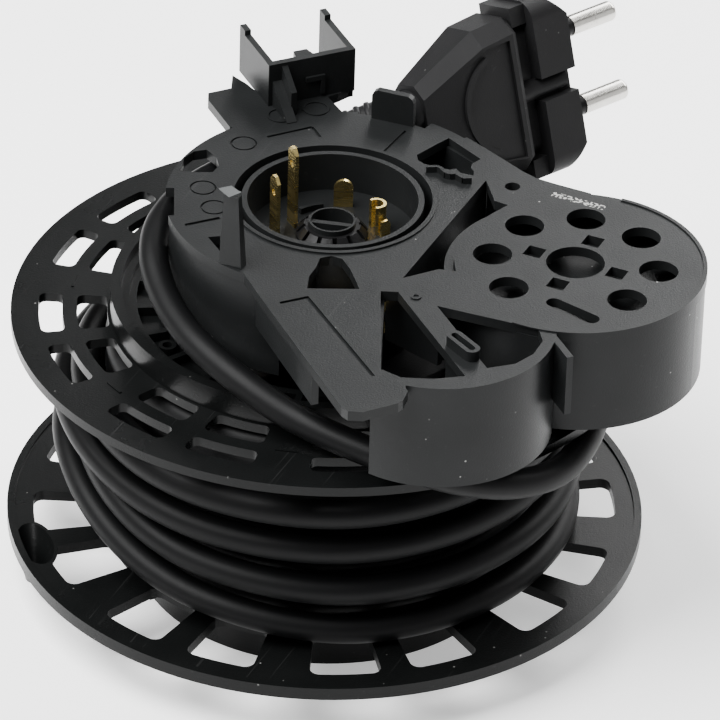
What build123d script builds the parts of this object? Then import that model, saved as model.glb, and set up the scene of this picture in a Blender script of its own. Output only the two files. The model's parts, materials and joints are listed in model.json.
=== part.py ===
from build123d import *
import os
from math import acos, atan2, cos, degrees, hypot, pi, radians, sin, tan

os.makedirs("parts", exist_ok=True)

# Frame: origin on the drum axis at the underside of the spring cup, +Z up along the spindle,
# +X from the drum axis toward the centre of the large round housing. Millimetres.

# ---- drum ----
cup_r, cup_wall, cup_step = 42.5, 2.0, 11.5
low_r, low_z0, low_z1, low_rim_z = 72.0, 11.5, 14.0, 14.5
up_r, up_z0, up_z1 = 71.0, 64.5, 66.7
barrel_r, barrel_wall, split_z = 38.0, 2.0, 40.0
hub_r, hub_top, hub_bottom = 8.5, 79.7, 5.3
spindle_r, running_gap = 5.2, 0.06
web_z0, web_z1 = 21.5, 24.0
floor_z0, floor_z1 = 57.5, 59.5
track_r0, track_r1, track_top = 46.5, 48.9, 72.5
step_r1, step_top1, step_r0, step_top0 = 44.6, 70.5, 43.0, 69.0
pair_pitch = 45
low_pair, low_half, low_w, low_win = -96.0, 10.0, 14.0, (50.0, 66.0)
up_pair, up_half, up_w = 38.0, 9.75, 14.5
up_win_out, up_win_in = (59.5, 64.8), (49.5, 56.3)
funnel_a, funnel_r = -139.8, 67.3

# ---- fixed frame ----
plate_z0, plate_z1 = 93.2, 95.5
open_r, collar_r, collar_z0, ledge_z1 = 22.0, 23.8, 82.0, 84.2
big_c, big_r, big_wall, big_z0 = (58.1, 0.0), 28.75, 2.0, 70.8
low_c, low_hr, low_hwall, low_hz0 = (41.9, -36.1), 25.1, 2.1, 70.5
skirt_r, skirt_wall, skirt_z0 = 36.7, 1.8, 71.5
cup_ring_r, cup_in_r, cup_floor_z = 20.2, 18.9, 86.2
deck_z0 = 88.0
blade_w, blade_t = 3.8, 0.8

# ---- cord ----
cord_d = 6.6
turns = 20


def polar(r, a, z=0.0):
    return (r * cos(radians(a)), r * sin(radians(a)), z)


def sector(c, r0, r1, a0, a1, mode=Mode.ADD):
    # band between two radii about c, from angle a0 to a1
    p = [(c[0] + r * cos(radians(a)), c[1] + r * sin(radians(a))) for r, a in
         ((r0, a0), (r1, a0), (r1, a1), (r0, a1))]
    with BuildLine() as edge:
        Line(p[0], p[1])
        CenterArc((c[0], c[1], 0), r1, a0, a1 - a0)
        Line(p[2], p[3])
        CenterArc((c[0], c[1], 0), r0, a0, a1 - a0)
    return make_face(edge.edges(), mode=mode)


def outline(pts, mode=Mode.ADD):
    with BuildLine() as edge:
        Polyline(*pts, close=True)
    return make_face(edge.edges(), mode=mode)


def strip(p, q, w, mode=Mode.ADD):
    # straight wall of width w from p to q
    dx, dy = q[0] - p[0], q[1] - p[1]
    n = hypot(dx, dy)
    ox, oy = -dy / n * w / 2, dx / n * w / 2
    return outline([(p[0] + ox, p[1] + oy), (q[0] + ox, q[1] + oy),
                    (q[0] - ox, q[1] - oy), (p[0] - ox, p[1] - oy)], mode)


def profile(rects, mode=Mode.ADD):
    # rectangles (r0, r1, z0, z1) of a turned section
    for r0, r1, z0, z1 in rects:
        with Locations(((r0 + r1) / 2, (z0 + z1) / 2)):
            Rectangle(r1 - r0, z1 - z0, mode=mode)


def save(builder, name):
    builder.part.label = name
    export_step(builder.part, f"parts/{name}.step")


# ================= drum: lower half with the spring cup =================
bore = spindle_r + running_gap
with BuildPart() as drum_lower_half:
    with BuildSketch(Plane.XZ):
        profile([(cup_r - cup_wall, cup_r, 0, low_z1),
                 (barrel_r - barrel_wall, low_r, low_z0, low_z1),
                 (70.3, low_r, low_z0, low_rim_z),
                 (barrel_r - barrel_wall, barrel_r, low_z0, split_z),
                 (bore, barrel_r, web_z0, web_z1),
                 (bore, hub_r, hub_bottom, web_z1)])
    revolve(axis=Axis.Z)
    with BuildSketch(Plane.XY.offset(low_z0 - 1)):
        for k in range(8):
            for s in (-1, 1):
                a = low_pair + pair_pitch * k + s * low_half
                sector((0, 0), low_win[0], low_win[1], a - low_w / 2, a + low_w / 2)
        fillet(vertices(), 2.2)
    extrude(amount=6, mode=Mode.SUBTRACT)
    # cord-end funnel: a tapered dimple with a shell below the flange
    top = Plane(origin=polar(funnel_r, funnel_a, low_z1), x_dir=polar(1, funnel_a + 90), z_dir=(0, 0, 1))
    low = Plane(origin=polar(funnel_r, funnel_a, 4.6), x_dir=polar(1, funnel_a + 90), z_dir=(0, 0, 1))
    with BuildSketch(top):
        Ellipse(9.2, 4.65)
    with BuildSketch(low):
        Circle(2.3)
    loft()
    low2 = Plane(origin=polar(funnel_r, funnel_a, 5.8), x_dir=polar(1, funnel_a + 90), z_dir=(0, 0, 1))
    top2 = Plane(origin=polar(funnel_r, funnel_a, low_z1 + 0.01), x_dir=polar(1, funnel_a + 90), z_dir=(0, 0, 1))
    with BuildSketch(top2):
        Ellipse(8.2, 3.9)
    with BuildSketch(low2):
        Circle(1.2)
    loft(mode=Mode.SUBTRACT)
    # strengthening ribs on the underside between the cup and the windows
    with BuildSketch(Plane.XY.offset(7.5)):
        for k in range(8):
            a = low_pair + 22.5 + pair_pitch * k
            strip(polar(cup_r - 0.5, a)[:2], polar(49.0, a)[:2], 1.6)
    extrude(amount=low_z0 - 7.5 + 0.2)

# ================= drum: upper half with track ring and hub =================
with BuildPart() as drum_upper_half:
    with BuildSketch(Plane.XZ):
        profile([(barrel_r - barrel_wall, up_r, up_z0, up_z1),
                 (track_r0, track_r1, up_z0, track_top),
                 (step_r1, track_r0 + 0.1, up_z0, step_top1),
                 (step_r0, step_r1 + 0.1, up_z0, step_top0),
                 (barrel_r - barrel_wall, barrel_r, split_z, up_z1 + 1.6),
                 (bore, barrel_r, floor_z0, floor_z1),
                 (bore, hub_r, web_z1, hub_top)])
    revolve(axis=Axis.Z)
    with BuildSketch(Plane.XY.offset(up_z0 - 1)):
        for k in range(8):
            for s in (-1, 1):
                a = up_pair + pair_pitch * k + s * up_half
                sector((0, 0), up_win_out[0], up_win_out[1], a - up_w / 2, a + up_w / 2)
                sector((0, 0), up_win_in[0], up_win_in[1], a - up_w / 2, a + up_w / 2)
        fillet(vertices(), 1.6)
    extrude(amount=3.6, mode=Mode.SUBTRACT)
    # castellated ribs between the well wall and the stepped rings
    with BuildSketch(Plane.XY.offset(up_z1 - 0.2)):
        for k in range(24):
            strip(polar(barrel_r - 0.6, 15 * k)[:2], polar(step_r0 + 0.4, 15 * k)[:2], 1.5)
    extrude(amount=2.4)
    # tangential loops in the well
    with BuildSketch(Plane.XY.offset(up_z1 - 0.2)):
        for k in range(8):
            with Locations(polar(40.4, 45 * k + 7.5)[:2]):
                Circle(2.0)
                Circle(1.1, mode=Mode.SUBTRACT)
    extrude(amount=2.0)
    # pocket for the cord clamp through the barrel wall
    with BuildSketch(Plane.XY.offset(floor_z1)):
        strip(polar(30, 200)[:2], polar(37, 200)[:2], 9.0)
    extrude(amount=4.6, mode=Mode.SUBTRACT)
    # low moulded arcs on the flange between the window pairs
    with BuildSketch(Plane.XY.offset(up_z1 - 0.1)):
        for k in range(8):
            a = up_pair + 22.5 + pair_pitch * k
            sector((0, 0), 57.6, 58.2, a - 2.4, a + 2.4)
    extrude(amount=0.35)

# ================= drum: small fixed pieces =================
with BuildPart() as spring_cover:
    with BuildSketch(Plane.XZ):
        profile([(0, cup_r - cup_wall - 0.05, 0.9, 2.7), (0, 9.0, 0, 2.7)])
    revolve(axis=Axis.Z)
    with BuildSketch(Plane.XY.offset(0.9)):
        with PolarLocations(30, 6):
            Circle(3.2)
    extrude(amount=0.5, mode=Mode.SUBTRACT)

with BuildPart() as cover_screws:
    with PolarLocations(37.6, 3, 30):
        with Locations((0, 0, 2.7)):
            Cylinder(1.4, 6.0, align=(Align.CENTER, Align.CENTER, Align.MIN))
            Cylinder(2.6, 1.1, align=(Align.CENTER, Align.CENTER, Align.MIN))

with BuildPart() as mainspring:
    # flat spiral of wound strip, drawn as its outer shape
    with BuildSketch(Plane.XZ):
        profile([(18.0, 33.5, 5.0, 20.0)])
    revolve(axis=Axis.Z)

with BuildPart() as slip_ring_carrier:
    with BuildSketch(Plane.XZ):
        profile([(hub_r + 0.1, 33.0, floor_z1, 63.0),
                 (hub_r + 0.1, 19.5, floor_z1, 68.0),
                 (hub_r + 0.1, 9.9, floor_z1, 69.6),
                 (13.2, 14.6, floor_z1, 69.6),
                 (18.4, 19.5, floor_z1, 69.6)])
    revolve(axis=Axis.Z)
    with BuildSketch(Plane.XY.offset(floor_z1)):
        strip(polar(28.2, 200)[:2], polar(34, 200)[:2], 13.0)
        with PolarLocations(27.0, 3, 20):
            Circle(1.35)
    extrude(amount=6, mode=Mode.SUBTRACT)

with BuildPart() as slip_ring_outer:
    with BuildSketch(Plane.XZ):
        profile([(14.9, 18.1, 68.0, 69.2)])
    revolve(axis=Axis.Z)

with BuildPart() as slip_ring_inner:
    with BuildSketch(Plane.XZ):
        profile([(10.1, 13.0, 68.0, 69.2)])
    revolve(axis=Axis.Z)

with BuildPart() as drum_screws:
    with PolarLocations(27.0, 3, 20):
        with Locations((0, 0, floor_z1)):
            Cylinder(1.3, 3.5, align=(Align.CENTER, Align.CENTER, Align.MIN))
        with Locations((0, 0, 63.0)):
            Cylinder(2.7, 1.5, align=(Align.CENTER, Align.CENTER, Align.MIN))

clamp_plane = Plane(origin=polar(31.6, 200, floor_z1), x_dir=polar(1, 290), z_dir=(0, 0, 1))
with BuildPart() as cord_clamp:
    with BuildSketch(clamp_plane):
        Rectangle(12.0, 4.6)
    extrude(amount=4.0)
    with BuildSketch(clamp_plane.offset(-0.01)):
        Rectangle(5.0, 4.8)
    extrude(amount=2.2, mode=Mode.SUBTRACT)

with BuildPart() as clamp_screws:
    with BuildSketch(clamp_plane.offset(4.0)):
        with Locations((-4.2, 0), (4.2, 0)):
            Circle(1.7)
    extrude(amount=1.1)

# ================= wound cord: one closed ring of its outer shape =================
wind_r0, wind_z0, wind_z1 = barrel_r + 0.15, low_z1 + 0.1, up_z0 - 0.15
with BuildPart() as wound_cord:
    with BuildSketch(Plane.XZ):
        outline([(wind_r0, wind_z0), (55.0, wind_z0), (55.6, 25.0), (56.6, 40.0), (57.4, 52.0),
                 (57.4, 55.2), (52.4, 55.6), (52.4, wind_z1), (wind_r0, wind_z1)])
    revolve(axis=Axis.Z)

# ================= fixed frame: the large moulding =================
plate_pts = [(-4.1, -36.8), (2.0, -42.7), (36.6, -74.7), (38.4, -75.5), (41.3, -74.4), (46.6, -67.9),
             (47.0, -66.4), (46.5, -62.7), (45.3, -61.6), (42, -36), (58, 0), (50, 27.95), (41.5, 28.1),
             (36.5, 28.4), (32.6, 29.7), (26.7, 32.5), (21.2, 35.0), (15.8, 37.3), (14.2, 35.2), (0, 20),
             (-20, 0)]
rear_pts = [(-33.4, 17.2), (-43.0, 25.8), (-44.2, 28.4), (-40.5, 32.7), (-42.7, 38.0), (-38.1, 36.0),
            (-34.6, 33.8), (-22.0, 47.6), (-16.4, 45.5), (-18.0, 41.5), (-19.4, 39.2), (-13.5, 34.5), (-10.4, 36.5),
            (-8, 20)]
br_p, br_q = (-30.2, 29.8), (-16.0, 45.5)
br_len = hypot(br_q[0] - br_p[0], br_q[1] - br_p[1])
br_u = ((br_q[0] - br_p[0]) / br_len, (br_q[1] - br_p[1]) / br_len)
br_v = (-br_u[1], br_u[0])
br_h = 10.6
ring_marks = [(-27.6, 12.3), (-27.5, -8.8), (-21.8, -15.1)]
fold_line = [(2.4, 33.7), (1.8, 23.5)]
mark_l = [(-24.1, 17.2), (-17.0, 25.6), (-13.6, 22.6)]


def br(s, t):
    # point in the bracket's own plan axes: s along its back wall, t away from the drum
    return (br_p[0] + br_u[0] * s + br_v[0] * t, br_p[1] + br_u[1] * s + br_v[1] * t)


with BuildPart() as frame_moulding:
    with BuildSketch(Plane.XY.offset(plate_z0)):
        Circle(37.0)
        sector((0, 0), 30.0, 39.8, 62, 81)
        outline(plate_pts)
        outline(rear_pts)
        with Locations(big_c):
            Circle(big_r)
        with Locations(low_c):
            Circle(low_hr)
        # openings through the plate
        Circle(open_r, mode=Mode.SUBTRACT)
        outline([(-36.6, -13.5), (-33.1, -11.8), (-28.2, -22.0), (-31.6, -24.4)], Mode.SUBTRACT)
        outline([(27.0, 22.4), (31.1, 16.9), (32.1, 15.4), (35.5, 15.1), (33.9, 10.6), (32.4, 5.4),
                 (31.9, 0), (32.4, -5.4), (33.9, -10.6), (36.3, -14.9), (32.7, -15.9), (27.2, -22.7)],
                Mode.SUBTRACT)
        outline([(25.1, -29.7), (28.6, -28.3), (54.9, -52.0), (49.4, -56.0), (43.0, -58.6),
                 (37.9, -57.6)], Mode.SUBTRACT)
        outline([(38.4, -29.6), (61.5, -28.1), (64.2, -32.0), (64.4, -37.6), (62.5, -42.8),
                 (57.8, -47.1)], Mode.SUBTRACT)
        outline([(10.5, -35.9), (8.8, -31.2), (8.6, -27.2), (7.8, -23.5), (9.6, -21.6), (12.3, -21.6),
                 (15.5, -24.6), (19.2, -29.1), (20.6, -31.0)], Mode.SUBTRACT)
        outline([(8.9, 25.3), (11.0, 31.7), (12.3, 35.2), (22.3, 30.2), (21.4, 27.4), (21.9, 25.7),
                 (23.0, 24.8), (23.7, 23.0), (20.6, 22.8), (19.1, 24.0), (17.9, 22.9), (15.6, 22.7),
                 (12.0, 22.6), (10.0, 23.4)], Mode.SUBTRACT)
        outline([(-35.2, -4.7), (-36.7, 0.5), (-36.1, 4.0), (-33.8, 6.1), (-30.4, 4.1), (-28.4, 1.2), (-28.4, -1.9), (-31.7, -3.6)], Mode.SUBTRACT)
        outline([(-17.6, -26.8), (-15.4, -25.2), (-12.8, -30.8)], Mode.SUBTRACT)
        with Locations((33.3, 22.7)):
            Circle(1.7, mode=Mode.SUBTRACT)
        with Locations(big_c):
            Circle(6.4, mode=Mode.SUBTRACT)
        for k in range(-3, 5):
            a = radians(15.8 + 45 * k)
            if k != -2:
                with Locations((big_c[0] + 18.2 * cos(a), big_c[1] + 18.2 * sin(a))):
                    Circle(4.3, mode=Mode.SUBTRACT)
        for k in range(4):
            a = radians(90 * k)
            with Locations((big_c[0] + 9.7 * cos(a), big_c[1] + 9.7 * sin(a))):
                Rectangle(4.0, 4.0, rotation=90 * k, mode=Mode.SUBTRACT)
        with Locations((65.2, -18.1)):
            SlotOverall(13.5, 3.4, rotation=-13.3, mode=Mode.SUBTRACT)
    extrude(amount=plate_z1 - plate_z0)
    # label groove, folded fold line and locating grooves in the top face
    with BuildSketch(Plane.XY.offset(plate_z1 - 0.5)):
        strip((7.8, -43.8), (12.3, -38.8), 0.9)
        strip((12.0, -39.1), (37.5, -60.8), 0.9)
        strip((-24.2, -24.6), (-18.7, -18.5), 1.0)
        for c in ring_marks:
            with Locations(c):
                Circle(3.0)
                Circle(2.55, mode=Mode.SUBTRACT)
        strip(fold_line[0], fold_line[1], 0.6)
        strip(mark_l[0], mark_l[1], 0.7)
        strip(mark_l[1], mark_l[2], 0.7)
    extrude(amount=1, mode=Mode.SUBTRACT)
    # collar and ledge of the contact well
    with BuildSketch(Plane.XY.offset(collar_z0)):
        Circle(collar_r)
        Circle(open_r, mode=Mode.SUBTRACT)
    extrude(amount=plate_z1 - collar_z0 - 0.5)
    with BuildSketch(Plane.XY.offset(collar_z0)):
        Circle(collar_r)
        Circle(18.7, mode=Mode.SUBTRACT)
    extrude(amount=ledge_z1 - collar_z0)
    # large round housing wall, open below
    with BuildSketch(Plane.XY.offset(big_z0)):
        with Locations(big_c):
            Circle(big_r - 0.25)
            Circle(big_r - 0.25 - big_wall, mode=Mode.SUBTRACT)
    extrude(amount=plate_z0 + 0.3 - big_z0)
    # deck inside the large housing, under the ring of holes
    with BuildSketch(Plane.XY.offset(deck_z0)):
        with Locations(big_c):
            Circle(big_r - 1.0)
        Circle(26.8, mode=Mode.SUBTRACT)
        with Locations((70.0, -12.0)):
            Circle(2.5, mode=Mode.SUBTRACT)
    extrude(amount=1.3)
    # lower housing wall, open toward the drum
    with BuildSketch(Plane.XY.offset(low_hz0)):
        sector(low_c, low_hr - low_hwall, low_hr, -101, 17)
    extrude(amount=plate_z0 + 0.3 - low_hz0)
    with BuildSketch(Plane.XZ.offset(-low_c[1])):
        outline([(low_c[0], low_hz0 - 0.1), (low_c[0] + 24.2, low_hz0 - 0.1),
                 (low_c[0] + low_hr - low_hwall, low_hz0 + 3.4), (low_c[0], low_hz0 + 3.4)])
    revolve(axis=Axis((low_c[0], low_c[1], 0), (0, 0, 1)), mode=Mode.SUBTRACT)
    # skirt around the drum well
    with BuildSketch(Plane.XY.offset(skirt_z0)):
        sector((0, 0), skirt_r - skirt_wall, skirt_r, -143, -83)
    extrude(amount=plate_z0 + 0.3 - skirt_z0)
    # stiffening walls under the plate
    with BuildSketch(Plane.XY.offset(80.0)):
        strip((26.0, 23.5), (26.0, -23.2), 1.6)
        strip((25.4, -30.2), (37.4, -58.8), 1.6)
        strip((24.5, -24.0), (39.0, -28.4), 1.6)
        strip((27.0, 23.6), (40.0, 27.0), 1.6)
    extrude(amount=plate_z0 + 0.3 - 80.0)
    with BuildSketch(Plane.XY.offset(84.0)):
        strip((9.6, 36.4), (7.4, 22.9), 1.4)
        strip((10.0, 36.2), (24.6, 29.6), 1.4)
        strip((8.0, -36.2), (6.2, -23.4), 1.4)
        strip((0.0, -37.6), (24.0, -60.4), 1.6)
    extrude(amount=plate_z0 + 0.3 - 84.0)
    # keep the inner ends clear of the turning track ring
    with BuildSketch(Plane.XY.offset(60.0)):
        Circle(50.6)
        Circle(track_r0 - 2.5, mode=Mode.SUBTRACT)
    extrude(amount=73.2 - 60.0, mode=Mode.SUBTRACT)
    # post that carries the terminal link
    with BuildSketch(Plane.XY.offset(85.6)):
        with Locations((18.6, -25.2)):
            Circle(1.3)
    extrude(amount=plate_z0 + 0.2 - 85.6)
    # rib between the housings
    with BuildSketch(Plane.XY.offset(81.0)):
        strip((63.6, -27.6), (71.9, -35.2), 1.5)
    extrude(amount=plate_z1 - 81.0)
    # bar of the bell opening
    with BuildSketch(Plane.XY.offset(plate_z0 - 1.2)):
        outline([(9.4, -33.2), (10.5, -36.4), (21.2, -31.4), (19.0, -29.0)])
    extrude(amount=1.4)
    # oval tube lug beside the lower housing openings
    lug = Plane(origin=(50.6, -43.4, plate_z0 - 9.0), x_dir=(8.4, -4.9, 0), z_dir=(0, 0, 1))
    with BuildSketch(lug):
        SlotOverall(9.7, 3.5)
    extrude(amount=9.0 + 2.3 + 2.5)
    with BuildSketch(lug.offset(0.5)):
        SlotOverall(7.7, 1.5)
    extrude(amount=14, mode=Mode.SUBTRACT)
    with BuildSketch(Plane.XY.offset(plate_z1 - 0.1)):
        with Locations((32.9, -28.4)):
            Circle(1.2)
            Circle(0.6, mode=Mode.SUBTRACT)
        with Locations((-25.4, 26.7), (-19.5, 33.1)):
            Circle(3.0)
            Circle(2.6, mode=Mode.SUBTRACT)
    extrude(amount=0.4)
    # proud rim of the large housing
    with BuildSketch(Plane.XY.offset(plate_z1 - 0.1)):
        sector(big_c, big_r - 0.9, big_r, -95, 92)
    extrude(amount=0.4)
    # raised wavy rib
    wave = [(13.7, 19.6), (15.9, 20.9), (17.0, 20.5), (18.5, 19.3), (19.8, 19.4), (20.6, 20.1), (22.9, 19.0),
            (24.6, 19.9)]
    with BuildSketch(Plane.XY.offset(plate_z1 - 0.1)):
        for a, b in zip(wave[:-1], wave[1:]):
            strip(a, b, 0.8)
    extrude(amount=1.6)
    # rim lip of the contact well
    with BuildSketch(Plane.XY.offset(plate_z1 - 0.1)):
        Circle(open_r + 1.0)
        Circle(open_r, mode=Mode.SUBTRACT)
    extrude(amount=0.5)
    # tall post
    with BuildSketch(Plane.XY.offset(plate_z1 - 0.2)):
        outline([(-10.9, -35.4), (-5.4, -35.7), (-5.3, -33.2), (-10.6, -32.5)])
    with BuildSketch(Plane.XY.offset(plate_z1 + 18.5)):
        outline([(-10.0, -35.0), (-6.6, -35.2), (-6.5, -33.7), (-9.8, -33.3)])
    loft()
    # flared cap of the post
    with BuildSketch(Plane.XY.offset(plate_z1 + 17.6)):
        outline([(-10.0, -35.0), (-6.6, -35.2), (-6.5, -33.7), (-9.8, -33.3)])
    with BuildSketch(Plane.XY.offset(plate_z1 + 18.9)):
        outline([(-11.3, -35.3), (-9.3, -33.0), (-6.2, -34.6), (-7.7, -37.6)])
    loft()
    # upright tab at the rear edge
    tab = Plane(origin=(-6.8, 35.2, plate_z1 - 0.2), x_dir=(10.0, 0.7, 0), z_dir=(0.7, -10.0, 0))
    with BuildSketch(tab):
        outline([(0, 0), (10.0, 0), (10.0, 6.2), (9.6, 7.1), (8.7, 7.7), (1.3, 7.7), (0.4, 7.1), (0, 6.2)])
    extrude(amount=-1.6)
    # U bracket: back wall, two wings with hooked ends, lug, ramp and gusset
    with BuildSketch(Plane.XY.offset(plate_z1 - 0.3)):
        strip(br(0, 0), br(br_len, 0), 1.6)
        strip(br(0.8, 0), br(0.8, 16.5), 1.5)
        strip(br(br_len - 0.8, 0), br(br_len - 0.8, 16.5), 1.5)
    extrude(amount=br_h + 0.3)
    with BuildSketch(Plane.XY.offset(plate_z0)):
        outline([br(0, 0), br(br_len, 0), br(br_len, 7), br(0, 7)])
        outline([br(6.2, -0.9), br(12.0, -0.9), br(11.4, -5.2), br(7.4, -5.2)], Mode.SUBTRACT)
    extrude(amount=2.3)
    with BuildSketch(Plane.XY.offset(plate_z1 + br_h - 0.2)):
        strip(br(0.8, 13.5), br(0.8, 16.5), 1.5)
        strip(br(br_len - 0.8, 13.5), br(br_len - 0.8, 16.5), 1.5)
    extrude(amount=1.4)
    with BuildSketch(Plane.XY.offset(plate_z1 + br_h - 1.6)):
        outline([br(7.0, 0), br(11.6, 0), br(10.8, 3.2), br(7.6, 3.2)])
    extrude(amount=1.6)
    gus = br(4.6, 0)
    gusset = Plane(origin=(gus[0], gus[1], plate_z1 - 0.2), x_dir=(-br_v[0], -br_v[1], 0),
                   z_dir=(-br_u[0], -br_u[1], 0))
    with BuildSketch(gusset):
        outline([(0, 0), (6.4, 0), (6.4, 6.0), (3.0, 8.4), (0, br_h)])
    extrude(amount=1.4)
    with BuildSketch(gusset.offset(1.2)):
        outline([(0, 0), (9.5, 0), (9.5, 0.4), (0, 7.0)])
    extrude(amount=2.4)
    # small angled rib on the wall's inner face
    with BuildSketch(Plane.XY.offset(plate_z1 + 4.6)):
        outline([br(9.0, 0), br(13.6, 0), br(13.6, -1.5), br(9.0, -1.5)])
    extrude(amount=1.2)
    with BuildSketch(Plane.XY.offset(plate_z1 + 1.0)):
        outline([br(12.6, 0), br(13.6, 0), br(13.6, -1.5), br(12.6, -1.5)])
    extrude(amount=4.0)

# ================= fixed frame: contact well =================
tall_p, short_p = (-9.7, 0.0), (-11.4, -5.6)
blade_a = -40.0
blade_plane = {}
for key, p in (("tall", tall_p), ("short", short_p)):
    blade_plane[key] = Plane(origin=(p[0], p[1], 0), x_dir=polar(1, blade_a), z_dir=(0, 0, 1))

with BuildPart() as contact_cup:
    with BuildSketch(Plane.XZ):
        profile([(spindle_r + 0.03, cup_ring_r, ledge_z1, cup_floor_z),
                 (cup_in_r, cup_ring_r, ledge_z1, plate_z1)])
    revolve(axis=Axis.Z)
    for key in ("tall", "short"):
        with BuildSketch(blade_plane[key].offset(ledge_z1 - 0.5)):
            Rectangle(blade_w + 0.02, blade_t + 0.02)
        extrude(amount=3, mode=Mode.SUBTRACT)
    with BuildSketch(Plane.XY.offset(cup_floor_z - 0.1)):
        sector((0, 0), 10.6, 11.6, 125, 155)
        sector((0, 0), 10.6, 11.6, 222, 340)
        for k in range(4):
            a = -60 + 20 * k
            strip(polar(11.4, a)[:2], polar(17.0, a)[:2], 0.9)
    extrude(amount=1.5)

for key, name, top in (("tall", "terminal_tall", 106.1), ("short", "terminal_short", 101.3)):
    with BuildPart() as blade:
        with BuildSketch(Plane(origin=blade_plane[key].origin, x_dir=polar(1, blade_a),
                               z_dir=polar(1, blade_a - 90))):
            outline([(-1.9, 80.3), (1.9, 80.3), (1.9, top - 1.4), (0.7, top), (-0.7, top),
                     (-1.9, top - 1.4)])
            with Locations((0, top - 4.2)):
                Circle(0.8, mode=Mode.SUBTRACT)
        extrude(amount=blade_t / 2, both=True)
    save(blade, name)

brushes = (("brush_outer", 16.5, tall_p, 180.0), ("brush_inner", 11.5, short_p, degrees(atan2(-5.6, -11.4))))
for name, r_ring, p, a in brushes:
    r_top = hypot(*p)
    with BuildPart() as brush:
        with BuildSketch(Plane(origin=(0, 0, 0), x_dir=polar(1, a), z_dir=polar(1, a - 90))):
            outline([(r_top - 0.3, 80.3), (r_top + 0.3, 80.3), (r_top + 0.3, 77.4), (r_ring + 0.3, 70.6),
                     (r_ring + 0.3, 69.35), (r_ring - 0.9, 69.35), (r_ring - 0.9, 70.2),
                     (r_top - 0.3, 77.0)])
        extrude(amount=1.5, both=True)
    save(brush, name)

with BuildPart() as contact_tab:
    face = Plane(origin=(-2.8, 12.0, cup_floor_z), x_dir=polar(1, 24), z_dir=polar(1, -66))
    with BuildSketch(face):
        with Locations((0, 2.35)):
            Rectangle(4.3, 4.7)
        with Locations((0, 4.65)):
            Circle(2.15)
    extrude(amount=0.4, both=True)

with BuildPart() as contact_curl:
    curl = Plane(origin=(7.9, 6.1, cup_floor_z), x_dir=polar(1, 10), z_dir=(0, 0, 1))
    with BuildSketch(curl):
        sector((0, 0), 1.5, 2.2, -80, 150)
    extrude(amount=7.0)

with BuildPart() as contact_stub:
    with BuildSketch(Plane(origin=(10.7, 4.8, cup_floor_z), x_dir=polar(1, 60), z_dir=polar(1, -30))):
        outline([(-1.2, 0), (1.2, 0), (1.2, 3.2), (0.4, 4.0), (-1.2, 4.0)])
    extrude(amount=0.3, both=True)

with BuildPart() as terminal_link:
    # flat strip under the plate, seen through the bell-shaped opening
    with BuildSketch(Plane.XY.offset(85.0)):
        outline([(8.2, -25.4), (12.8, -22.7), (19.8, -23.6), (20.6, -27.0), (16.2, -29.4), (10.8, -30.4)])
    extrude(amount=0.6)

with BuildPart() as spindle:
    with BuildSketch(Plane.XZ):
        profile([(0, spindle_r, 3.2, 90.1), (0, 7.5, 80.0, ledge_z1), (0, 7.6, 3.2, 5.0)])
        profile([(0, 4.7, 78.0, 90.2)], Mode.SUBTRACT)
    revolve(axis=Axis.Z)
    with BuildSketch(Plane.XY.offset(86.6)):
        strip((-4.8, -1.2), (4.8, 1.2), 1.3)
    extrude(amount=2.6)

with BuildPart() as retaining_ring:
    with BuildSketch(Plane.XZ):
        outline([(spindle_r + 0.05, cup_floor_z), (8.0, cup_floor_z), (8.0, 87.0), (6.3, 88.9),
                 (spindle_r + 0.05, 88.9)])
    revolve(axis=Axis.Z)
    with BuildSketch(Plane.XY.offset(86.9)):
        for k in range(12):
            strip(polar(5.9, 30 * k)[:2], polar(9.0, 30 * k)[:2], 1.0)
    extrude(amount=3, mode=Mode.SUBTRACT)

# ================= brake: lever, roller, pins and spring =================
roller_r, roller_a = 5.0, 8.0
roller_c = polar(track_r1 + 0.3 + roller_r, roller_a)[:2]
pivot = (70.0, -12.0)
with BuildPart() as brake_lever:
    with BuildSketch(Plane.XY.offset(72.9)):
        with Locations(roller_c):
            Circle(3.8)
        with Locations(pivot):
            Circle(4.6)
        strip(roller_c, pivot, 6.0)
        strip(pivot, (75.0, 4.0), 4.4)
        with Locations((75.0, 4.0)):
            Circle(2.2)
        with Locations(pivot):
            Circle(2.56, mode=Mode.SUBTRACT)
        with Locations(roller_c):
            Circle(1.5, mode=Mode.SUBTRACT)
    extrude(amount=3.2)
    with BuildSketch(Plane.XY.offset(72.9)):
        with Locations(pivot):
            Circle(4.6)
            Circle(2.56, mode=Mode.SUBTRACT)
    extrude(amount=9.0)

with BuildPart() as roller_pin:
    with BuildSketch(Plane.XY.offset(67.5)):
        with Locations(roller_c):
            Circle(1.5)
    extrude(amount=76.1 - 67.5)
    with BuildSketch(Plane.XY.offset(76.1)):
        with Locations(roller_c):
            Circle(2.4)
    extrude(amount=0.8)

with BuildPart() as brake_roller:
    with BuildSketch(Plane.XY.offset(67.3)):
        with Locations(roller_c):
            Circle(roller_r)
            Circle(1.56, mode=Mode.SUBTRACT)
    extrude(amount=5.2)

with BuildPart() as lever_pin:
    with BuildSketch(Plane.XY.offset(71.6)):
        with Locations(pivot):
            Circle(2.5)
    extrude(amount=plate_z0 - 71.6)
    with BuildSketch(Plane.XY.offset(71.6)):
        with Locations(pivot):
            Circle(3.6)
    extrude(amount=1.0)

with BuildPart() as brake_spring:
    for k in range(5):
        with BuildSketch(Plane(origin=(pivot[0] + 3.6, pivot[1], 83.2 + 0.9 * k), x_dir=(1, 0, 0),
                               z_dir=(0, 1, 0))):
            Circle(0.4)
        revolve(axis=Axis((pivot[0], pivot[1], 0), (0, 0, 1)))
    with BuildSketch(Plane.XY.offset(82.9)):
        with Locations((pivot[0] + 3.6, pivot[1])):
            Rectangle(0.6, 0.6)
    extrude(amount=4.2)

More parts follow.
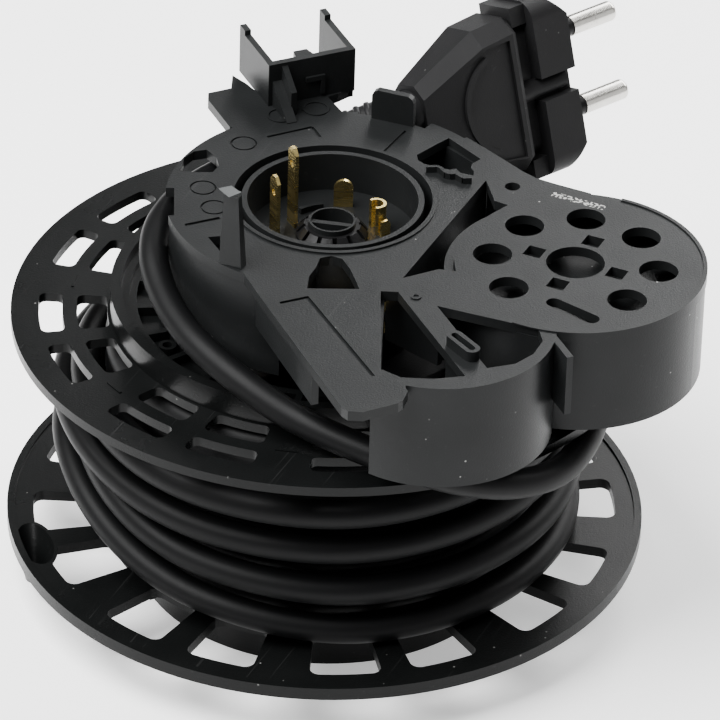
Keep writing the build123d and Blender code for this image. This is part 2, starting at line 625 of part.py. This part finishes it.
# ================= free cord =================
# way points of the cord's centre line (radius, angle, height)
way = [polar(56.8, 74.5, 59.8), polar(56.8, 60, 59.7), polar(56.9, 45, 59.6), polar(57.8, 30, 59.6),
       polar(60.2, 16, 59.7), polar(64.2, 3, 60.0), polar(69.3, -10, 60.4), polar(74.4, -22, 60.8), polar(76.7, -33, 64.1), polar(75.9, -43, 68.3), polar(70.2, -52, 71.1),
       polar(61.5, -61.5, 71.7), polar(54.8, -74, 73.4), polar(50.2, -88, 77.2), polar(46.6, -103, 79.8),
       polar(43.6, -117, 81.4), polar(41.7, -130, 83.4), polar(40.7, -141, 86.0), polar(38.8, -153, 87.8),
       polar(36.4, -166, 88.5), polar(34.4, 180, 88.7), polar(33.2, 160, 88.3), (-26.6, 21.0, 87.6),
       (-21.5, 28.8, 87.6), (-16.5, 34.3, 88.4)]
radii = []
for a, b, c in zip(way[:-2], way[1:-1], way[2:]):
    u = [b[i] - a[i] for i in range(3)]
    v = [c[i] - b[i] for i in range(3)]
    lu = sum(x * x for x in u) ** 0.5
    lv = sum(x * x for x in v) ** 0.5
    turn = acos(sum(x * y for x, y in zip(u, v)) / lu / lv)
    radii.append(0.45 * min(lu, lv) / tan(turn / 2))
    print("cord turn %.0f deg, radius %.1f, runs %.1f %.1f" % (degrees(turn), radii[-1], lu, lv))
with BuildPart() as free_cord:
    with BuildLine() as cord_path:
        FilletPolyline(*way, radius=radii)
    with BuildSketch(Plane(origin=cord_path.line @ 0, z_dir=cord_path.line % 0)):
        Circle(cord_d / 2)
    sweep()
cord_len = sum(e.length for e in cord_path.edges())
print("cord length %.1f volume %.0f section x length %.0f"
      % (cord_len, free_cord.part.volume, pi * cord_d ** 2 / 4 * cord_len))

# ================= plug =================
pin_dir = Vector(0.4446, 0.8957, -0.0088).normalized()
pitch_dir = Vector(0.2705, -0.1437, -0.9519)
pitch_dir = (pitch_dir - pin_dir * pitch_dir.dot(pin_dir)).normalized()
side_dir = pin_dir.cross(pitch_dir)
face_c = Vector(18.73, 81.04, 89.9)
face_l, face_w, face_t = 42.0, 16.0, 10.0
neck_s, neck_x = 42.0, -3.8
neck = face_c - pin_dir * neck_s + pitch_dir * neck_x


def across(s):
    # plane across the plug axis, s millimetres behind the pin face, x along the pin pitch
    return Plane(origin=face_c - pin_dir * s, x_dir=pitch_dir, z_dir=pin_dir)


def bevelled(length, width, cut, x0=0.0):
    # rectangle with bevelled corners, its middle x0 along the pin pitch
    a, b = length / 2, width / 2
    return outline([(x0 + a, b - cut), (x0 + a - cut, b), (x0 - a + cut, b), (x0 - a, b - cut),
                    (x0 - a, cut - b), (x0 - a + cut, -b), (x0 + a - cut, -b), (x0 + a, cut - b)])


def lengthwise(y):
    # plane along the plug, y millimetres toward the side away from the grip: x behind the face
    return Plane(origin=face_c + side_dir * y, x_dir=-pin_dir, z_dir=side_dir)


with BuildPart() as plug_body:
    # face plate with cut corners and a notch in each broad side
    with BuildSketch(across(0)):
        RectangleRounded(face_l, face_w, 4.6)
        with Locations((0, 8.0), (0, -8.0)):
            Rectangle(5.4, 6.0, mode=Mode.SUBTRACT)
    extrude(amount=-face_t)
    with BuildSketch(lengthwise(-12)):
        outline([(-1, 14.5), (5.2, 21.2), (-1, 22)])
        outline([(-1, -14.5), (5.2, -21.2), (-1, -22)])
    extrude(amount=24, mode=Mode.SUBTRACT)
    # end lugs behind the plate
    with BuildSketch(across(face_t - 0.2)):
        with Locations((-18.2, 0), (18.2, 0)):
            Rectangle(4.6, 11.0)
    extrude(amount=-4.4)
    # round cores in the notches and the recessed waist behind the plate
    with BuildSketch(across(1.6)):
        with Locations((0, 4.4), (0, -4.4)):
            Circle(2.4)
    extrude(amount=-13.0)
    with BuildSketch(across(face_t - 0.2)):
        RectangleRounded(31.0, 8.6, 3.0)
    extrude(amount=-5.4)
    # grip body: a block that tapers to the neck, its long edges bevelled
    for s0, s1, a, b in ((14.8, 16.0, (35.6, 14.6, 3.2, -0.6), (36.6, 15.8, 3.4, -0.6)),
                         (16.0, 25.0, (36.6, 15.8, 3.4, -0.6), (34.2, 15.8, 3.6, -1.2)),
                         (25.0, neck_s, (34.2, 15.8, 3.6, -1.2), (13.0, 11.5, 3.0, neck_x))):
        with BuildSketch(across(s0)):
            bevelled(*a)
        with BuildSketch(across(s1)):
            bevelled(*b)
        loft(ruled=True)
    # recessed grip panels with a raised half-moon ridge
    for y, amount in ((-face_w / 2 + 0.9, -3.0), (face_w / 2 - 0.9, 3.0)):
        with BuildSketch(lengthwise(y)):
            outline([(17.2, 14.2), (17.2, -13.6), (24.0, -12.6), (30.5, -7.0), (34.0, -1.6), (34.0, 6.8),
                     (30.0, 11.6), (24.0, 14.2)])
        extrude(amount=amount, mode=Mode.SUBTRACT)
        with BuildSketch(lengthwise(y)):
            sector((19.6, 0.6), 11.4, 12.6, -68, 68)
        extrude(amount=0.8 if amount > 0 else -0.8)

with BuildPart() as pin_sleeves:
    with BuildSketch(across(0)):
        with Locations((-9.5, 0), (9.5, 0)):
            Circle(2.2)
    extrude(amount=6.0)

with BuildPart() as plug_pins:
    for s in (-9.5, 9.5):
        with BuildSketch(across(-6.0)):
            with Locations((s, 0)):
                Circle(2.4)
        extrude(amount=13.0)
    fillet(plug_pins.edges().filter_by(GeomType.CIRCLE).sort_by(Axis.Y)[-2:], 1.2)

with BuildPart() as strain_relief:
    start = Vector(*way[-1])
    lead = (Vector(*way[-1]) - Vector(*way[-2])).normalized()
    with BuildLine() as boot_path:
        Spline(start, (-9.0, 41.0, 90.6), neck, tangents=(lead, pin_dir))
    with BuildSketch(Plane(origin=boot_path.line @ 0, z_dir=boot_path.line % 0)):
        Circle(3.8)
    with BuildSketch(Plane(origin=boot_path.line @ 1, z_dir=boot_path.line % 1)):
        Circle(5.2)
    sweep(multisection=True)
print("boot length %.1f" % sum(e.length for e in boot_path.edges()), "neck", neck, "start", start)

for builder, name in (
        (drum_lower_half, "drum_lower_half"), (drum_upper_half, "drum_upper_half"),
        (spring_cover, "spring_cover"), (cover_screws, "cover_screws"), (mainspring, "mainspring"),
        (slip_ring_carrier, "slip_ring_carrier"), (slip_ring_outer, "slip_ring_outer"),
        (slip_ring_inner, "slip_ring_inner"), (drum_screws, "drum_screws"), (cord_clamp, "cord_clamp"),
        (clamp_screws, "clamp_screws"), (wound_cord, "wound_cord"), (frame_moulding, "frame_moulding"),
        (contact_cup, "contact_cup"), (contact_tab, "contact_tab"), (contact_curl, "contact_curl"),
        (contact_stub, "contact_stub"), (terminal_link, "terminal_link"),
        (spindle, "spindle"), (retaining_ring, "retaining_ring"),
        (brake_lever, "brake_lever"), (roller_pin, "roller_pin"), (brake_roller, "brake_roller"),
        (lever_pin, "lever_pin"), (brake_spring, "brake_spring"), (free_cord, "free_cord"),
        (plug_body, "plug_body"), (pin_sleeves, "pin_sleeves"), (plug_pins, "plug_pins"),
        (strain_relief, "strain_relief")):
    save(builder, name)
    print(name, "volume %.0f" % builder.part.volume, "solids", len(builder.part.solids()))
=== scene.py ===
import json
import math
import random

import bmesh
import bpy
from mathutils import Matrix, Vector


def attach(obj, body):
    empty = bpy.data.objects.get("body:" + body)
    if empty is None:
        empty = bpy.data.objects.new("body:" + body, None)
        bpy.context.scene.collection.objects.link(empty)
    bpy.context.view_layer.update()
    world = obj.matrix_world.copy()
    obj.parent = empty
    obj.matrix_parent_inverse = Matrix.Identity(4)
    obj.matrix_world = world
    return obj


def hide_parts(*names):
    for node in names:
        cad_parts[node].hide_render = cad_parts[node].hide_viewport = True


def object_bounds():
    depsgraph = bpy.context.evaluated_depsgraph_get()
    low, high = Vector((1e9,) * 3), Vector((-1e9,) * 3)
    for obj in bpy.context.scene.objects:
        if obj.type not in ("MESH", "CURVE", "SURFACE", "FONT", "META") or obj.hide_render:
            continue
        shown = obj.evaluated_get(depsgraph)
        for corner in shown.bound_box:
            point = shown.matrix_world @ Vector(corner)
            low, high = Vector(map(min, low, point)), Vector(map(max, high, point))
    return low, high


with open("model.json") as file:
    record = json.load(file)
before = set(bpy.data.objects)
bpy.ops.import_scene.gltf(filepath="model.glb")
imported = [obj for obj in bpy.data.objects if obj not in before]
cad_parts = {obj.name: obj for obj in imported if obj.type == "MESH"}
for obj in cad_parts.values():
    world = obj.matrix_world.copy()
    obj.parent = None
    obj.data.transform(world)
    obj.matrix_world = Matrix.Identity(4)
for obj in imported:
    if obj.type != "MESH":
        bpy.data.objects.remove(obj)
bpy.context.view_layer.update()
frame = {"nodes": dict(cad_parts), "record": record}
MM = 0.001

# ---------------------------------------------------------------- camera
# where the photograph's camera stands, as solved from the flanges, and the point it looks at
CAM_AT = Vector((0.5030, -1.1282, 0.8583))
CAM_TO = Vector((0.00645, 0.00283, 0.05333))
CAM_LENS, CAM_ROLL = 329.5, 1.73
SENSOR_WIDTH, CLIP_NEAR, CLIP_FAR = 36.0, 0.05, 20.0


def make_camera():
    """The photograph's view, with the roll turned about the line of sight."""
    data = bpy.data.cameras.new("camera")
    data.lens, data.sensor_width = CAM_LENS, SENSOR_WIDTH
    data.clip_start, data.clip_end = CLIP_NEAR, CLIP_FAR
    cam = bpy.data.objects.new("camera", data)
    bpy.context.scene.collection.objects.link(cam)
    aim = (CAM_TO - CAM_AT).to_track_quat("-Z", "Y").to_matrix().to_4x4()
    cam.matrix_world = (Matrix.Translation(CAM_AT) @ aim
                        @ Matrix.Rotation(math.radians(CAM_ROLL), 4, "Z"))
    bpy.context.scene.camera = cam


make_camera()


# ---------------------------------------------------------------- helpers
def link(name, data):
    """A new object of this data, linked to the scene."""
    obj = bpy.data.objects.new(name, data)
    bpy.context.scene.collection.objects.link(obj)
    return obj


def polar(r, a, z):
    """Point in metres from a radius and height in millimetres and an angle in degrees."""
    return Vector((r * math.cos(math.radians(a)), r * math.sin(math.radians(a)), z)) * MM


def cord_curve(name, points, dia):
    """A round cord as a smooth curve that is led by its points."""
    data = bpy.data.curves.new(name, "CURVE")
    data.dimensions = "3D"
    data.bevel_depth = dia / 2
    data.bevel_resolution = 5
    data.resolution_u = 8
    data.use_fill_caps = True
    line = data.splines.new("NURBS")
    line.points.add(len(points) - 1)
    for p, co in zip(line.points, points):
        p.co = (*co, 1.0)
    line.order_u = 3
    line.use_endpoint_u = True
    return link(name, data)


# ---------------------------------------------------------------- cords
CORD_D = 6.6 * MM

# free stretch: the same way points as the model's tube, from the coil to the strain relief
FREE_WAY = [
    polar(56.8, 74.5, 59.8), polar(56.8, 60, 59.7), polar(56.9, 45, 59.6), polar(57.8, 30, 59.6),
    polar(60.2, 16, 59.7), polar(64.2, 3, 60.0), polar(69.3, -10, 60.4), polar(74.4, -22, 60.8),
    polar(76.7, -33, 64.1), polar(75.9, -43, 68.3), polar(70.2, -52, 71.1), polar(61.5, -61.5, 71.7),
    polar(54.8, -74, 73.4), polar(50.2, -88, 77.2), polar(46.6, -103, 79.8), polar(43.6, -117, 81.4),
    polar(41.7, -130, 83.4), polar(40.7, -141, 86.0), polar(38.8, -153, 87.8),
    polar(36.4, -166, 88.5), polar(34.4, 180, 88.7), polar(33.2, 160, 88.3),
    Vector((-26.6, 21.0, 87.6)) * MM, Vector((-21.5, 28.8, 87.6)) * MM,
    Vector((-16.5, 34.3, 88.4)) * MM]
# the drawn cord starts a little inside the coil, so that its cut end is hidden
DIP = [polar(51.0, 87, 57.4), polar(54.6, 81, 58.8)]

TURN_POINTS = 16
COIL_START = 300.0
# radius, first height, last height and turns of the two tight inner layers
LAYERS = ((41.5, 17.6, 61.0, 7.0), (47.6, 60.8, 17.8, 7.5))
# the loose outer strands, one row a turn from the lowest up: height and radius at eight places,
# where the coil hangs slack at the front and bunches high up at the left
STRANDS = (
    ((18.0, 52.0), (18.0, 54.8), (19.0, 55.5), (18.5, 55.5),
     (17.8, 55.8), (23.5, 57.5), (36.5, 59.8), (36.0, 58.5)),
    ((32.0, 56.0), (30.0, 55.2), (31.0, 55.6), (30.0, 56.0),
     (29.0, 57.0), (32.5, 57.0), (41.8, 55.4), (42.0, 55.1)),
    ((42.0, 55.6), (41.5, 55.6), (42.5, 56.0), (41.5, 56.0),
     (39.5, 56.0), (41.5, 57.5), (47.2, 59.8), (47.6, 59.2)),
    ((51.0, 55.8), (50.5, 56.0), (51.6, 56.0), (51.2, 56.0),
     (49.0, 56.4), (50.0, 57.0), (52.6, 55.4), (52.8, 55.0)))
STRAND_STEP = 45.0
# height and radius where the last strand ends, then radius and height of the tucked-in tail
STRAND_END = (52.6, 54.5)
TAIL_R, TAIL_Z, TAIL_STEP = 51.6, 51.8, 20


def winding_points():
    """Two tight layers, then the loose outer strands."""
    pts = []
    a = COIL_START
    for r, z0, z1, turns in LAYERS:
        n = int(turns * TURN_POINTS)
        for i in range(n):
            pts.append(polar(r, a, z0 + (z1 - z0) * i / n))
            a -= 360.0 / TURN_POINTS
    stops = [stop for turn in STRANDS for stop in turn] + [STRAND_END]
    for (z, r), (z_next, r_next) in zip(stops[:-1], stops[1:]):
        pts.append(polar(r, a, z))
        pts.append(polar((r + r_next) / 2, a - STRAND_STEP / 2, (z + z_next) / 2))
        a -= STRAND_STEP
    # the end tucks in behind the strand below it
    pts += [polar(STRAND_END[1], a, STRAND_END[0]), polar(TAIL_R, a - TAIL_STEP, TAIL_Z)]
    return pts


wound = cord_curve("cord_winding", winding_points(), CORD_D)
free = cord_curve("cord_free", DIP + FREE_WAY, CORD_D)


# ---------------------------------------------------------------- materials
# the printed code on the plate: where its row starts, its direction, length and height
PRINT_AT, PRINT_TURN, PRINT_SIZE = (0.0424, 0.0230), -1.8, (0.0126, 0.0019)
# just under the plate's top face, and the underside of the post's cap
PLATE_TOP, POST_CAP_Z = 0.0954, 0.1131
# half the width of a soft edge: between two heights, and round the printed strokes
HEIGHT_EDGE, PRINT_EDGE = 0.0001, 0.00004


class Nodes:
    """One material and short calls that add nodes to its tree."""

    def __init__(self, name):
        self.mat = bpy.data.materials.new(name)
        self.mat.use_nodes = True
        self.tree = self.mat.node_tree
        self.shader = self.tree.nodes["Principled BSDF"]
        self.coord = self.tree.nodes.new("ShaderNodeTexCoord").outputs["Object"]

    def add(self, kind, **props):
        node = self.tree.nodes.new(kind)
        for key, value in props.items():
            setattr(node, key, value)
        return node

    def wire(self, a, b):
        self.tree.links.new(a, b)

    def noise(self, scale, detail=3.0, rough=0.5, stretch=None):
        node = self.add("ShaderNodeTexNoise")
        node.inputs["Scale"].default_value = scale
        node.inputs["Detail"].default_value = detail
        node.inputs["Roughness"].default_value = rough
        source = self.coord
        if stretch:
            mapping = self.add("ShaderNodeMapping")
            mapping.inputs["Scale"].default_value = stretch
            self.wire(self.coord, mapping.inputs["Vector"])
            source = mapping.outputs["Vector"]
        self.wire(source, node.inputs["Vector"])
        return node.outputs["Fac"]

    def span(self, fac, low, high, at=(0.0, 1.0)):
        node = self.add("ShaderNodeMapRange")
        node.inputs["From Min"].default_value, node.inputs["From Max"].default_value = at
        node.inputs["To Min"].default_value, node.inputs["To Max"].default_value = low, high
        self.wire(fac, node.inputs["Value"])
        return node.outputs["Result"]

    def mix(self, fac, a, b):
        node = self.add("ShaderNodeMix", data_type="RGBA")
        for socket, value in ((node.inputs[6], a), (node.inputs[7], b)):
            if isinstance(value, tuple):
                socket.default_value = (*value, 1.0)
            else:
                self.wire(value, socket)
        self.wire(fac, node.inputs[0])
        return node.outputs[2]

    def times(self, a, b):
        node = self.add("ShaderNodeMath", operation="MULTIPLY")
        for socket, value in ((node.inputs[0], a), (node.inputs[1], b)):
            if isinstance(value, (int, float)):
                socket.default_value = value
            else:
                self.wire(value, socket)
        return node.outputs[0]

    def plus(self, a, b):
        node = self.add("ShaderNodeMath", operation="ADD")
        self.wire(a, node.inputs[0])
        self.wire(b, node.inputs[1])
        return node.outputs[0]

    def colour(self, value):
        self.wire(value, self.shader.inputs["Base Color"])

    def rough(self, value):
        self.wire(value, self.shader.inputs["Roughness"])

    def bump(self, height, distance):
        node = self.add("ShaderNodeBump")
        node.inputs["Distance"].default_value = distance
        node.inputs["Strength"].default_value = 1.0
        self.wire(height, node.inputs["Height"])
        self.wire(node.outputs["Normal"], self.shader.inputs["Normal"])

    def scratches(self, scale, angle):
        """Thin bright lines where a stretched noise peaks."""
        mapping = self.add("ShaderNodeMapping")
        mapping.inputs["Rotation"].default_value = (0, 0, math.radians(angle))
        mapping.inputs["Scale"].default_value = (scale, scale * 0.02, scale)
        self.wire(self.coord, mapping.inputs["Vector"])
        node = self.add("ShaderNodeTexNoise")
        node.inputs["Scale"].default_value = 1.0
        node.inputs["Detail"].default_value = 2.0
        self.wire(mapping.outputs["Vector"], node.inputs["Vector"])
        return self.span(node.outputs["Fac"], 0.0, 1.0, at=(0.70, 0.76))

    def above(self, z):
        """One over this height, nothing below."""
        split = self.add("ShaderNodeSeparateXYZ")
        self.wire(self.coord, split.inputs["Vector"])
        return self.span(split.outputs["Z"], 0.0, 1.0, at=(z - HEIGHT_EDGE, z + HEIGHT_EDGE))

    def band(self, value, size):
        """One between zero and size, nothing outside."""
        return self.times(self.span(value, 0.0, 1.0, at=(-PRINT_EDGE, PRINT_EDGE)),
                          self.span(value, 1.0, 0.0, at=(size - PRINT_EDGE, size + PRINT_EDGE)))

    def print_mark(self):
        """A short printed row of broken strokes, too small to read."""
        shift = self.add("ShaderNodeMapping", vector_type="TEXTURE")
        shift.inputs["Location"].default_value = (*PRINT_AT, 0.0)
        shift.inputs["Rotation"].default_value = (0.0, 0.0, math.radians(PRINT_TURN))
        self.wire(self.coord, shift.inputs["Vector"])
        split = self.add("ShaderNodeSeparateXYZ")
        self.wire(shift.outputs["Vector"], split.inputs["Vector"])
        row = self.times(self.band(split.outputs["X"], PRINT_SIZE[0]),
                         self.band(split.outputs["Y"], PRINT_SIZE[1]))
        strokes = self.span(self.noise(1500, 1.0, 0.4), 0.0, 1.0, at=(0.50, 0.53))
        return self.times(self.times(row, strokes), self.above(PLATE_TOP))

    def specks(self, scale, size=0.06):
        """Scattered small dots, kept only where a broad noise peaks."""
        node = self.add("ShaderNodeTexVoronoi", feature="F1")
        node.inputs["Scale"].default_value = scale
        node.inputs["Randomness"].default_value = 1.0
        self.wire(self.coord, node.inputs["Vector"])
        near = self.span(node.outputs["Distance"], 1.0, 0.0, at=(size * 0.6, size))
        sift = self.span(self.noise(scale * 0.13, 2.0), 0.0, 1.0, at=(0.51, 0.56))
        return self.times(near, sift)


def moulded(name, dark, light, rough, grain, dust=0.35, coarse=0.0, marks=False):
    """Black moulded plastic: mottled sheen, fine grain, rubbed scratches and dust specks."""
    n = Nodes(name)
    n.shader.inputs["IOR"].default_value = 1.5
    n.shader.inputs["Specular IOR Level"].default_value = 0.10
    base = n.mix(n.noise(90, 4.0), dark, light)
    lines = n.plus(n.scratches(900, 35), n.scratches(1100, -62))
    base = n.mix(n.times(lines, 0.05), base, (0.12, 0.12, 0.12))
    base = n.mix(n.times(n.specks(230), dust), base, (0.55, 0.55, 0.53))
    if marks:
        base = n.mix(n.above(POST_CAP_Z), base, (0.055, 0.058, 0.058))
        base = n.mix(n.print_mark(), base, (0.26, 0.26, 0.25))
    n.colour(base)
    patch = n.span(n.noise(38, 5.0, 0.6), rough - 0.07, rough + 0.09)
    n.rough(n.plus(patch, n.times(lines, 0.06)))
    height = n.noise(grain, 3.0, 0.6)
    if coarse:
        height = n.plus(height, n.times(n.noise(160, 2.0), coarse))
    n.bump(height, 0.00004)
    return n.mat


def sheath():
    """The cord's black sheath, smooth with a slow unevenness."""
    n = Nodes("cord_black")
    n.shader.inputs["Specular IOR Level"].default_value = 0.09
    n.colour(n.mix(n.noise(70, 4.0), (0.0012, 0.0013, 0.0014), (0.0030, 0.0031, 0.0033)))
    n.rough(n.span(n.noise(55, 5.0, 0.6), 0.42, 0.58))
    n.bump(n.plus(n.noise(900, 3.0), n.times(n.noise(120, 2.0), 0.8)), 0.00003)
    return n.mat


def metal(name, low, high, rough, stretch, specked=0.0):
    """Metal with drawn-out streaks, and dark specks where asked for."""
    n = Nodes(name)
    n.shader.inputs["Metallic"].default_value = 1.0
    base = n.mix(n.noise(150, 4.0), low, high)
    if specked:
        base = n.mix(n.times(n.specks(900, 0.2), specked), base, tuple(c * 0.35 for c in low))
    n.colour(base)
    streak = n.noise(60, 3.0, 0.6, stretch)
    n.rough(n.span(streak, rough * 0.6, rough * 1.5))
    n.bump(streak, 0.00002)
    return n.mat


MATERIALS = {
    "black_plastic": moulded("black_plastic", (0.0046, 0.0050, 0.0051), (0.0096, 0.0102, 0.0104),
                             0.33, 2400, 0.35, marks=True),
    "drum_plastic": moulded("drum_plastic", (0.0018, 0.0020, 0.0020), (0.0042, 0.0045, 0.0045),
                            0.28, 2600, 0.18),
    "plug_plastic": moulded("plug_plastic", (0.0055, 0.0055, 0.0058), (0.0100, 0.0100, 0.0104),
                            0.44, 3200, 0.1, 1.2),
    "carrier_plastic": moulded("carrier_plastic", (0.0030, 0.0030, 0.0032), (0.0070, 0.0070, 0.0073),
                               0.34, 2200, 0.15),
    "cord_black": sheath(),
    "brass": metal("brass", (0.80, 0.60, 0.20), (0.95, 0.78, 0.36), 0.26, (1, 1, 14), 0.3),
    "nickel": metal("nickel", (0.46, 0.45, 0.42), (0.72, 0.70, 0.66), 0.22, (14, 2, 14), 0.35),
    "steel": metal("steel", (0.42, 0.42, 0.43), (0.60, 0.60, 0.60), 0.30, (6, 6, 6)),
    "spring_steel": metal("spring_steel", (0.20, 0.21, 0.24), (0.34, 0.35, 0.38), 0.28, (4, 4, 4)),
    "roller_rubber": moulded("roller_rubber", (0.04, 0.04, 0.04), (0.06, 0.06, 0.06),
                             0.6, 1800, 0.1),
}


def paint_nodes():
    """Each CAD node gets the material that its record row names."""
    slots = {s["node"]: s["material_slot"] for s in frame["record"]["subparts"]}
    for name, obj in frame["nodes"].items():
        mat = MATERIALS[slots[name]]
        if not obj.material_slots:
            obj.data.materials.append(mat)
        for holder in obj.material_slots:
            holder.material = mat


paint_nodes()


# ---------------------------------------------------------------- cords on the model
def dress_cords():
    """Material and body of the two drawn cords, with the model's own cord parts hidden."""
    wound.data.materials.append(MATERIALS["cord_black"])
    free.data.materials.append(MATERIALS["cord_black"])
    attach(wound, "drum")
    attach(free, "frame")
    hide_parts("wound_cord")
    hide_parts("free_cord")
    tuple(winding_points()[0])


dress_cords()


RIB_COUNT, RIB_SIDES = 7, 40
RIB_FIRST, RIB_SPREAD = 0.10, 0.78
# place along the centre line and growth of the radius, for each ring of one rib
RIB_PROFILE = ((-0.75, -0.5), (-0.55, 0.0), (0.0, 0.12), (0.55, 0.0), (0.75, -0.5))
RIB_WOBBLE = 0.015
# the strain relief's centre line: cord end, knee and plug end, in millimetres
RELIEF_LINE = (Vector((-16.5, 34.3, 88.4)), Vector((-9.0, 41.0, 90.6)),
               Vector((-0.97, 43.97, 93.89)))
# its radius at the cord, how much it grows to the plug, and how far the ribs stand out
RELIEF_R, RELIEF_GROWS, RIB_STANDS = 3.8, 1.4, 0.35


def relief_ribs():
    """Rings around the strain relief, each square to its centre line."""
    start, knee, end = RELIEF_LINE
    rng = random.Random(7)
    bm = bmesh.new()
    for k in range(RIB_COUNT):
        t = RIB_FIRST + RIB_SPREAD * k / (RIB_COUNT - 1)
        a, b = start.lerp(knee, t), knee.lerp(end, t)
        bow = (knee - (start + end) / 2) * 0.5 * (4 * t * (1 - t))
        at, along = a.lerp(b, t) + bow, (b - a).normalized()
        r = RELIEF_R + RELIEF_GROWS * t + RIB_STANDS
        turn = along.to_track_quat("Z", "Y")
        rings = []
        for half, grow in RIB_PROFILE:
            ring = []
            for side in range(RIB_SIDES):
                w = 2 * math.pi * side / RIB_SIDES
                rad = r + grow + rng.uniform(-RIB_WOBBLE, RIB_WOBBLE)
                spot = at + turn @ Vector((math.cos(w) * rad, math.sin(w) * rad, half))
                ring.append(bm.verts.new(spot * MM))
            rings.append(ring)
        for lo, hi in zip(rings[:-1], rings[1:]):
            for side in range(RIB_SIDES):
                after = (side + 1) % RIB_SIDES
                bm.faces.new((lo[side], lo[after], hi[after], hi[side])).smooth = True
    mesh = bpy.data.meshes.new("relief_ribs")
    bm.to_mesh(mesh)
    bm.free()
    ribs = link("relief_ribs", mesh)
    mesh.materials.append(MATERIALS["plug_plastic"])
    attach(ribs, "frame")


relief_ribs()


# ---------------------------------------------------------------- stage
FLOOR_HALF, FLOOR_GAP = 6.0, 0.0002
FLOOR_GLOW, WORLD_LIGHT = 0.5, 0.26


def area(name, at, aim, size, power):
    """A rectangular lamp that looks from one place at another."""
    data = bpy.data.lights.new(name, "AREA")
    data.shape, data.size, data.size_y = "RECTANGLE", size[0], size[1]
    data.energy = power
    lamp = link(name, data)
    lamp.location = at
    lamp.rotation_euler = (Vector(aim) - Vector(at)).to_track_quat("-Z", "Y").to_euler()
    return lamp


def make_floor():
    """A wide pale floor just under the object's lowest point, a little bright of its own."""
    bm = bmesh.new()
    bmesh.ops.create_grid(bm, x_segments=2, y_segments=2, size=FLOOR_HALF)
    mesh = bpy.data.meshes.new("floor")
    bm.to_mesh(mesh)
    bm.free()
    floor = link("floor", mesh)
    floor.location.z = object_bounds()[0][2] - FLOOR_GAP
    n = Nodes("floor_white")
    n.colour(n.mix(n.noise(8, 3.0), (0.86, 0.86, 0.86), (0.90, 0.90, 0.90)))
    n.shader.inputs["Roughness"].default_value = 0.6
    n.shader.inputs["Emission Color"].default_value = (1.0, 1.0, 1.0, 1.0)
    n.shader.inputs["Emission Strength"].default_value = FLOOR_GLOW
    floor.data.materials.append(n.mat)
    return floor


def make_world():
    """Even white light from all round."""
    world = bpy.data.worlds.new("soft")
    world.use_nodes = True
    sky = world.node_tree.nodes["Background"]
    sky.inputs["Color"].default_value = (1, 1, 1, 1)
    sky.inputs["Strength"].default_value = WORLD_LIGHT
    bpy.context.scene.world = world


def make_stage():
    floor = make_floor()
    make_world()
    area("key", (-0.5, -0.5, 1.2), (0, 0, 0.06), (1.2, 1.2), 88)
    area("back", (0.3, 1.3, 0.9), (0, 0, 0.06), (1.6, 0.9), 48)
    area("right", (1.3, 0.1, 0.5), (0, 0, 0.06), (0.8, 0.8), 2)


make_stage()
